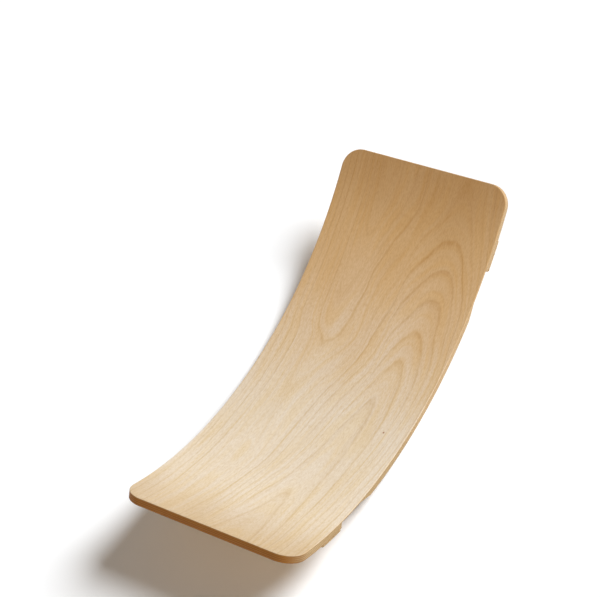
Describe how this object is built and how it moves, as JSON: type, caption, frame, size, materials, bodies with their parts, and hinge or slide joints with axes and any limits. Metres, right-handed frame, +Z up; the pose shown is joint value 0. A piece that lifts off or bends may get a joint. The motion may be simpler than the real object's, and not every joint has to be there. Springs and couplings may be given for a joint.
{
  "type": "balance board",
  "caption": "Rocker balance board of bent beech plywood: concave deck with rounded corners, cork pads under the ends and finger grips under the long edges.",
  "frame": {"origin": "middle of the convex underside, on the line where the level board touches the floor", "axes": "+X along the board, +Y across it, +Z up, away from the floor and out of the concave deck"},
  "size_m": [0.7348, 0.3, 0.1443],
  "materials": {
    "face_veneer": "satin",
    "back_veneer": "satin",
    "cross_grain_ply": "matte",
    "long_grain_ply": "matte",
    "cork_pad": "matte"
  },
  "bodies": {
    "root": {"face_veneer": "face_veneer", "core_ply_1": "cross_grain_ply", "core_ply_2": "long_grain_ply", "core_ply_3": "cross_grain_ply", "core_ply_4": "long_grain_ply", "core_ply_5": "cross_grain_ply", "core_ply_6": "long_grain_ply", "core_ply_7": "cross_grain_ply", "back_veneer": "back_veneer", "end_pad_near": "cork_pad", "end_pad_far": "cork_pad"}
  },
  "joints": []
}
